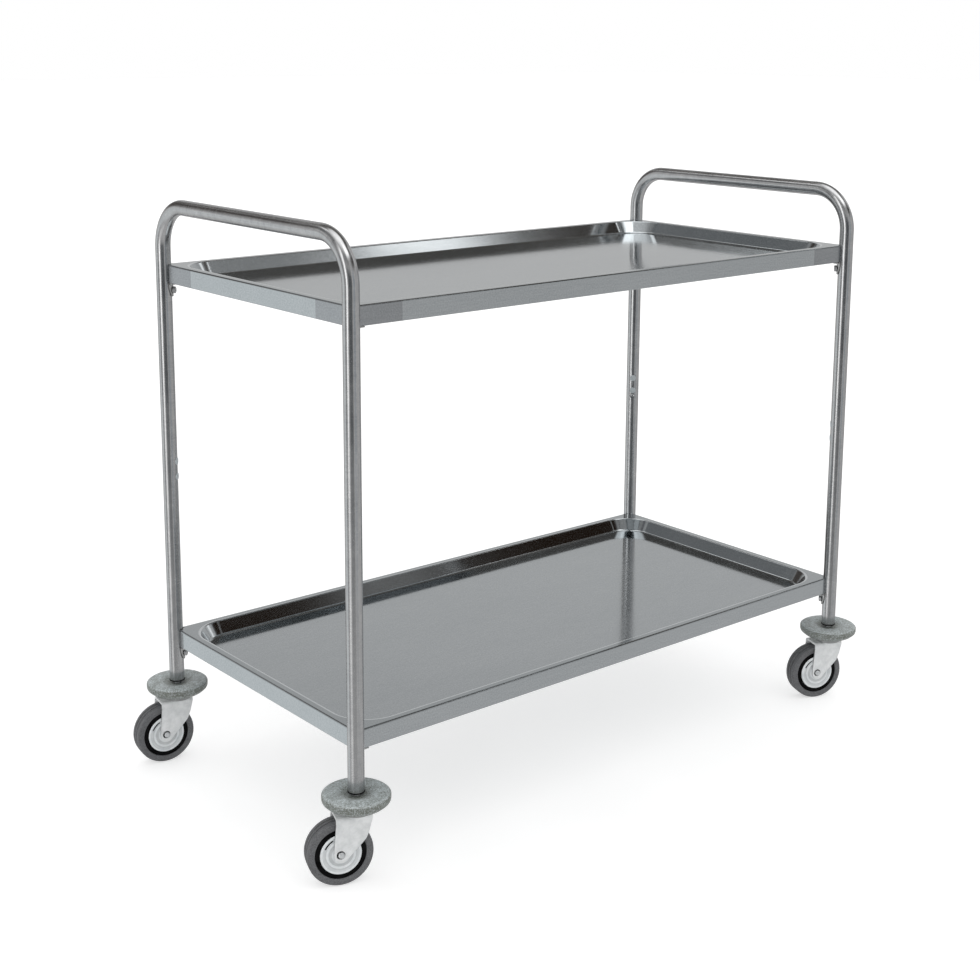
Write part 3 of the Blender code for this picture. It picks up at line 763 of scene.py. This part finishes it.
def shelf_fixings():
    """A bracket and its bolt under every corner of both shelves."""
    gap = 0.3
    bracket = bracket_mesh()
    bolt = bolt_mesh()
    for level in ("lower", "upper"):
        under = RIM_Z[level] - SKIRT_MM * MM
        for corner in CORNERS:
            turn = Matrix.Rotation(facing_in(corner), 4, "Z")
            at_leg = Matrix.Translation(LEG[corner] + Vector((0, 0, under))) @ turn
            down = Matrix.Translation((0, 0, -gap * MM))
            show(f"{level}_bracket_{corner}", bracket, BRACKET, at_leg @ down)
            seat = Vector((BRACKET_IN + BRACKET_T + gap, 0, -BOLT_DROP))
            at_seat = at_leg @ Matrix.Translation(seat * MM)
            show(f"{level}_bolt_{corner}", bolt, BOLT, at_seat @ LYING)


# Casters. Each is built about its swivel axis, which is Z, with the wheel trailing along +X.

TRAIL = 27.2                # in mm, as are all the profiles below
AXLE_Z = 50.0


def bumper_mesh():
    """A moulded ring: crowned top that dips to the stem, rounded edge, tapering underside."""
    profile = filleted([
        (6.7, 133.6, 0), (15.0, 133.8, 5), (30.0, 138.3, 20), (47.0, 137.6, 12), (51.2, 134.8, 2.6),
        (51.0, 126.0, 6), (43.0, 119.2, 5), (30.0, 119.3, 3), (24.0, 121.0, 1), (6.7, 121.0, 0),
    ], step_degrees=6)
    mesh = turned("bumper", profile, 96, sharp=60)
    # Painted shade: darker on the outer side, round the stem and underneath.
    painted_shade_and_dull_edges = mesh.attributes.new("painted_shade_and_dull_edges", "FLOAT", "POINT")
    for vert, value in zip(mesh.vertices, painted_shade_and_dull_edges.data):
        radius = math.hypot(vert.co.x, vert.co.y) / MM
        at_side = (radius - 49.6) / 1.2
        at_stem = (21 - radius) / 6
        underneath = (127 - vert.co.z / MM) / 4
        value.value = min(1.0, max(0.0, at_side, at_stem, underneath))
    return mesh


def stem_mesh():
    """Stem, upper race flange with its ball groove, and the king pin's riveted end."""
    profile = filleted([
        (0, 196, 0), (5.2, 196, 0.8), (5.9, 194.5, 0.4), (5.9, 118.7, 0.3), (20.5, 118.7, 0.5),
        (22.5, 117.6, 0.6), (22.5, 116.0, 0.5), (21.4, 115.2, 0.3), (17.5, 115.25, 0.3),
        (15.5, 116.6, 0.8), (13.0, 115.4, 0.4), (5.9, 115.3, 0.2), (5.9, 104.7, 0.2),
        (9.0, 104.7, 0.4), (8.2, 102.6, 1.2), (0, 101.8, 0),
    ], closed=False)
    return turned("stem", profile, 48, closed=False, sharp=50)


def plug_mesh():
    """Expander sleeve with its barbs, and the black collar under the tube's end."""
    bore, outside, foot = 6.5, 10.6, 138.4
    profile = [(bore, foot), (bore, 180.0), (9.6, 180.0), (outside, 178.0)]
    for k in range(5):
        top = 174 - 7 * k
        profile += [(outside, top), (9.9, top - 1.2), (outside, top - 4)]
    collar = [(outside, 139.6, 0), (13.1, 139.6, 0.3), (13.1, foot, 0.3), (bore, foot, 0)]
    profile += filleted(collar, closed=False)[:-1]
    return turned("plug", profile, 48)


def fork_mesh():
    """Bent plate: an inverted U cut to tapering legs with round bosses, under a domed race."""
    inside = 16.3
    thick = 2.5
    out = inside + thick
    top = 108.3
    under = 105.0
    section = filleted([
        (out, 30, 0), (out, top, 4.8), (-out, top, 4.8), (-out, 30, 0),
        (-inside, 30, 0), (-inside, under, 2.2), (inside, under, 2.2), (inside, 30, 0),
    ], step_degrees=11)
    outline = filleted([
        (-20.0, top + 2, 0), (34.6, top + 2, 0), (34.8, 99.0, 3), (38.6, 52.5, 0),
        *((x, z, 0) for x, z in arc((TRAIL, AXLE_Z), 11.2, 8, -122, 16)),
        (-2.6, 64.2, 9), (-10.2, 72.5, 12), (-15.6, 86.0, 12), (-20.0, 104.0, 4),
    ], step_degrees=8)
    base = scratch(prism("fork", section, -30, 50, "YZ"))
    helpers = []

    def use(mesh, operation, at=(0, 0, 0), turn=0.0):
        """Combines the bent plate with another shape, which is moved to a place in mm."""
        other = scratch(mesh)
        other.matrix_world = Matrix.Translation(Vector(at) * MM) @ Matrix.Rotation(turn, 4, "X")
        boolean(base, other, operation)
        helpers.append(other)

    use(prism("fork_side", outline, -30, 30, "XZ"), "INTERSECT")
    dome = filleted([
        (0, 114.8, 0), (19.2, 114.8, 1.6), (22.4, 112.2, 1.8), (23.0, 107.5, 0), (0, 107.5, 0),
    ], closed=False)
    use(turned("fork_dome", dome, 56, closed=False), "UNION")
    king = turned("fork_king", rod(6.6, 95, 120), 40, closed=False)
    use(king, "DIFFERENCE")
    head = turned("fork_head", rod(6.5, 0, 30), 40, closed=False)
    use(head, "DIFFERENCE", (TRAIL + 1.2, 0, AXLE_Z + 1.0), -QUARTER_TURN)
    shank = turned("fork_shank", rod(4.8, -30, 0), 40, closed=False)
    use(shank, "DIFFERENCE", (TRAIL, 0, AXLE_Z), -QUARTER_TURN)
    mesh = softened(baked(base, helpers), 0.45, 32)
    painted_shade_and_dull_edges = mesh.attributes.new("painted_shade_and_dull_edges", "FLOAT", "FACE")
    for face, value in zip(mesh.polygons, painted_shade_and_dull_edges.data):
        # The plate's cut edges are darker than the plate, partly for their duller zinc and partly
        # as painted shade that parts the plate from the guard; the race under the ring is darkened
        # with painted shade from the bumper above.
        cut_edge = abs(face.normal.y) < 0.9 and face.center.z < 104 * MM
        race = face.center.z > 108.8 * MM and face.normal.z < 0.9
        value.value = 0.55 if cut_edge else 0.65 if race else 0.0
    return mesh


def tyre_mesh():
    """Rubber tyre: flat sides, rounded shoulders, and a crowned tread with two grooves."""
    half = 14.2
    crown = 49.75
    side = [
        (38.7, 13.2, 0.3), (39.4, 13.9, 0.3), (44.6, half, 0.8), (48.3, 13.6, 0.9),
        (49.45, 11.7, 1.0),
    ]
    tread = []
    for centre in (3.8, -3.8):
        for offset, depth in ((1.7, 0.0), (0.9, 1.9), (-0.9, 1.9), (-1.7, 0.0)):
            tread.append((crown - 0.003 * centre ** 2 - depth, centre + offset, 0))
    mirrored = [(r, -y, fillet) for r, y, fillet in reversed(side)]
    return turned("tyre", filleted(side + tread + mirrored, step_degrees=12), 128, sharp=35)


def core_mesh():
    """Moulded wheel centre: rim with a stepped lip, web and hub."""
    half = [
        (4.6, 13.2, 0.2), (11.8, 13.2, 0.5), (12.4, 5.0, 1.5), (31.2, 4.0, 1.5),
        (32.0, 13.0, 0.3), (34.2, 13.2, 0.2), (34.6, 12.8, 0.2), (37.2, 12.8, 0.2),
        (37.5, 13.2, 0.2), (38.2, 13.2, 0.2),
    ]
    mirrored = [(r, -y, fillet) for r, y, fillet in reversed(half)]
    return turned("core", filleted(half + mirrored, step_degrees=20), 80)


def guard_mesh():
    """Pressed disc on the +Z side, with its rings and a curved slot."""
    thick = 0.8
    grooves = (14.4, 18.2, 22.7, 27.2)
    outside = filleted([
        (6.8, 15.9, 0), (12.4, 15.9, 0.9), (14.2, 15.0, 0.9), (18.4, 14.5, 0.5),
        (19.4, 15.3, 0.5), (21.6, 15.3, 0.5), (22.6, 14.4, 0.4), (27.0, 14.3, 0.4),
        (28.0, 15.2, 0.5), (30.1, 15.1, 0.6), (31.1, 14.0, 0),
    ], closed=False, step_degrees=25)
    inside = [(r, y - thick) for r, y in reversed(outside)]
    base = scratch(turned("guard", outside + inside, 96, sharp=24))
    middle = 25.4
    half_slot = 1.25
    low, high = -62, -27

    def slot_end(angle, start):
        turn = math.radians(angle)
        at = (middle * math.cos(turn), middle * math.sin(turn))
        return arc(at, half_slot, start, start + 180, 6)[1:-1]

    outline = arc((0, 0), middle + half_slot, low, high, 14) + slot_end(high, high)
    outline += arc((0, 0), middle - half_slot, high, low, 14) + slot_end(low, low + 180)
    slot = scratch(prism("guard_slot", outline, 8, 20, "XY"))
    boolean(base, slot, "DIFFERENCE")
    mesh = baked(base, [slot], sharp=24)
    # Painted shade along the pressed rings.
    painted_shade_and_dull_edges = mesh.attributes.new("painted_shade_and_dull_edges", "FLOAT", "POINT")
    for vert, value in zip(mesh.vertices, painted_shade_and_dull_edges.data):
        radius = math.hypot(vert.co.x, vert.co.y) / MM
        value.value = max(0.0, *(0.34 - abs(radius - groove) / 2.0 for groove in grooves))
    return mesh


def axle_mesh():
    """Axle with a domed head on the +Z side and a threaded end on the other."""
    shank = 4.15
    profile = filleted([
        (0, 20.35, 0), (3.4, 19.9, 3), (4.9, 18.4, 1.6), (5.0, 16.4, 0.2), (shank, 16.4, 0.2),
        (shank, -19.2, 0),
    ], closed=False)
    pitch = 1.0
    for k in range(6):
        y = -19.4 - pitch * k
        profile += [(shank, y), (3.6, y - pitch / 2)]
    profile += [(4.0, -25.4), (3.3, -26.1), (0, -26.1)]
    return turned("axle", profile, 40, closed=False)


def nut_mesh():
    """Flanged hexagon nut on the -Z side of the fork."""
    seat = 19.1
    flange = [(0, 20.6), (7.0, 20.6), (7.4, 20.2), (7.4, seat), (0, seat)]
    mesh = hexagon_mesh("axle_nut", 13, seat, 25.1, 0.3, [
        (flange, "UNION"), (rod(4.45, 40, 0), "DIFFERENCE"),
    ])
    mesh.transform(Matrix.Rotation(math.pi, 4, "X"))
    return mesh


def casters():
    """Every caster's pieces. Each wheel and bumper is turned by its own angle."""
    fixed = {
        "bumper": (bumper_mesh(), BUMPER),
        "stem": (stem_mesh(), STEM),
        "expander_plug": (plug_mesh(), NYLON),
    }
    tyre = tyre_mesh()
    core = core_mesh()
    fork = fork_mesh()
    guard = guard_mesh()
    axle = axle_mesh()
    nut = nut_mesh()
    for k, corner in enumerate(CORNERS):
        spin = Matrix.Rotation(1.7 * k + 0.4, 4, "Z")
        at_leg = Matrix.Translation(LEG[corner])
        for name, (mesh, finish) in fixed.items():
            show(f"{corner}_{name}", mesh, finish, at_leg @ spin)
        across = JOINTS[f"{corner}_roll"]["axis"]
        swivel = at_leg @ Matrix.Rotation(math.atan2(-across[0], across[1]), 4, "Z")
        show(f"{corner}_fork", fork, FORK, swivel)
        hub = swivel @ Matrix.Translation(Vector((TRAIL, 0, AXLE_Z)) * MM)
        wheel = hub @ Matrix.Rotation(-QUARTER_TURN, 4, "X")
        show(f"{corner}_tyre", tyre, TYRE, wheel @ spin)
        show(f"{corner}_wheel_core", core, NYLON, wheel @ spin)
        show(f"{corner}_axle", axle, AXLE, wheel @ spin)
        show(f"{corner}_axle_nut", nut, AXLE, wheel @ spin)
        show(f"{corner}_thread_guard_a", guard, GUARD, wheel)
        far_side = wheel @ Matrix.Rotation(math.pi, 4, "X")
        show(f"{corner}_thread_guard_b", guard, GUARD, far_side)


# Stage

SKY = [
    # elevation in degrees, radiance
    (-90, 0.62), (-22, 0.58), (-8, 0.53), (4, 0.56), (19, 0.58), (30, 0.46), (40, 0.28), (47, 0.34),
    (56, 0.70), (66, 1.20), (80, 1.7),
]
PATCHES = [
    # azimuth from +X, half width, lowest, highest and softness in degrees, then radiance
    (231, 23, -19, 20, 9, (0.105, 0.113, 0.12)),
    (278, 13, -18, 20, 6, (0.40, 0.43, 0.46)),
    (313, 23, 25, 39, 5, (0.018, 0.011, 0.007)),
    (39, 71, 37, 62, 6, (0.120, 0.112, 0.105)),
    (98, 20, 8, 32, 7, (0.080, 0.070, 0.064)),
    (64, 9, 25, 36, 5, (0.50, 0.50, 0.50)),
    (129, 10, 25, 42, 5, (0.19, 0.195, 0.20)),
    (117, 8, 43, 56, 5, (1.6, 1.6, 1.6)),
    (1, 7, -60, 9, 6, (0.22, 0.22, 0.23)),
    (157, 5, -22, 40, 4, (0.14, 0.14, 0.15)),
    (186, 8, -15, 46, 5, (2.1, 2.1, 2.1)),
    (187, 14, -60, -15, 8, (0.85, 0.85, 0.85)),
    (130, 22, -60, 2, 12, (0.80, 0.83, 0.84)),
    (350, 4, 18, 44, 3, (1.4, 1.4, 1.4)),
    (277, 32, 50, 72, 6, (2.4, 2.4, 2.4)),
    (323, 2, 38.5, 43.5, 1.5, (1.9, 1.9, 1.9)),
    (311.5, 1.6, 30.5, 35, 1.5, (0.32, 0.32, 0.32)),
]


def studio():
    """White sweep round the trolley, with soft boxes and dark flats for the steel to reflect."""
    world = bpy.data.worlds.new("studio")
    bpy.context.scene.world = world
    world.use_nodes = True
    world.cycles.sampling_method = "NONE"
    tree = world.node_tree

    def add(kind, inputs, output=0, **settings):
        node = tree.nodes.new(kind)
        for key, value in settings.items():
            setattr(node, key, value)
        for key, value in inputs.items():
            if isinstance(value, bpy.types.NodeSocket):
                tree.links.new(value, node.inputs[key])
            else:
                node.inputs[key].default_value = value
        return node.outputs[output]

    def mix(share, first, second):
        """A color between the two. Each is a socket or a plain color."""
        first, second = (
            color if isinstance(color, bpy.types.NodeSocket) else (*color, 1)
            for color in (first, second)
        )
        return add("ShaderNodeMix", {0: share, 6: first, 7: second}, 2, data_type="RGBA")

    def ramp(value, stops):
        """A level against an angle in degrees, through the stops."""
        result = stops[0][1]
        for (low, _), (high, level) in zip(stops, stops[1:]):
            inputs = {"Value": value, "From Min": math.radians(low), "From Max": math.radians(high)}
            share = add("ShaderNodeMapRange", inputs, interpolation_type="SMOOTHSTEP")
            result = add("ShaderNodeMix", {0: share, 2: result, 3: level}, 0)
        return result

    ray = add("ShaderNodeTexCoord", {}, "Generated")
    height = add("ShaderNodeSeparateXYZ", {0: ray}, 2)
    elevation = add("ShaderNodeMath", {0: height}, operation="ARCSINE")
    level_ray = add("ShaderNodeVectorMath", {0: ray, 1: (1, 1, 0)}, operation="MULTIPLY")
    level_ray = add("ShaderNodeVectorMath", {0: level_ray}, operation="NORMALIZE")

    def window(azimuth, half_width, low, high, soft):
        """1 inside a patch of the sky and 0 outside it."""
        towards = (math.cos(math.radians(azimuth)), math.sin(math.radians(azimuth)), 0)
        sides = {0: level_ray, 1: towards}
        dot = add("ShaderNodeVectorMath", sides, "Value", operation="DOT_PRODUCT")
        angle = add("ShaderNodeMath", {0: dot}, operation="ARCCOSINE")
        side = ramp(angle, [(half_width - soft / 2, 1.0), (half_width + soft / 2, 0.0)])
        above = ramp(elevation, [(low - soft / 2, 0.0), (low + soft / 2, 1.0)])
        below = ramp(elevation, [(high - soft / 2, 1.0), (high + soft / 2, 0.0)])
        inside = add("ShaderNodeMath", {0: side, 1: above}, operation="MULTIPLY")
        return add("ShaderNodeMath", {0: inside, 1: below}, operation="MULTIPLY")

    sky = ramp(elevation, SKY)
    light = add("ShaderNodeCombineColor", {0: sky, 1: sky, 2: sky})
    for azimuth, half_width, low, high, soft, radiance in PATCHES:
        light = mix(window(azimuth, half_width, low, high, soft), light, radiance)
    white = (1.0, 1.0, 1.0)
    light = mix(add("ShaderNodeLightPath", {}, "Is Diffuse Ray"), light, white)
    light = mix(add("ShaderNodeLightPath", {}, "Is Camera Ray"), light, white)
    tree.links.new(light, tree.nodes["Background"].inputs["Color"])


def floor():
    """A pale floor that the steel doesn't show, so that the studio's bands run down to its foot."""
    reach = 40
    edit = bmesh.new()
    bmesh.ops.create_grid(edit, x_segments=2, y_segments=2, size=reach)
    obj = bpy.data.objects.new("floor", finished(edit, "floor"))
    bpy.context.scene.collection.objects.link(obj)
    obj.visible_glossy = False
    f = Finish("floor_paint", 0.0)
    f.put(f.shader.inputs["Specular IOR Level"], 0.05)
    f.put(f.shader.inputs["Emission Color"], (1.0, 1.0, 1.0, 1.0))
    seen = f.add("ShaderNodeLightPath", {}, "Is Camera Ray")
    glow = f.add("ShaderNodeMix", {0: seen, 2: 0.10, 3: 0.55}, 0)
    f.put(f.shader.inputs["Emission Strength"], glow)
    cloud = f.noise(f.object_point(), 3, 2)
    color = f.blend(f.span(cloud, 0.3, 0.7, 0.0, 1.0), (0.62, 0.62, 0.62), (0.66, 0.66, 0.66))
    obj.data.materials.append(f.done(color, 0.8))


def camera():
    """At chest height off the front left corner, shifted so that the legs lean little."""
    from_middle = Vector((-1.7765, -2.0424, 1.2154))
    across = 36.0
    lens = 58.6
    yaw = math.radians(39.465)
    pitch = math.radians(10.82)
    roll = math.radians(0.248)
    data = bpy.data.cameras.new("camera")
    obj = bpy.data.objects.new("camera", data)
    bpy.context.scene.collection.objects.link(obj)
    level = Vector((math.sin(yaw), math.cos(yaw), 0))
    ahead = level * math.cos(pitch) - Vector((0, 0, 1)) * math.sin(pitch)
    right = Vector((math.cos(yaw), -math.sin(yaw), 0))
    up = right.cross(ahead)
    tilted = right * math.cos(roll) + up * math.sin(roll)
    upright = up * math.cos(roll) - right * math.sin(roll)
    placed = Matrix((tilted, upright, -ahead)).transposed().to_4x4()
    placed.translation = CENTRE + from_middle
    obj.matrix_world = placed
    data.sensor_width = across
    data.lens = lens
    data.shift_x = 0.0117
    data.shift_y = -0.15
    bpy.context.scene.camera = obj


hoop("left")
hoop("right")
shelf("lower")
shelf("upper")
shelf_fixings()
casters()
studio()
floor()
camera()
bpy.context.scene.view_settings.view_transform = "Standard"
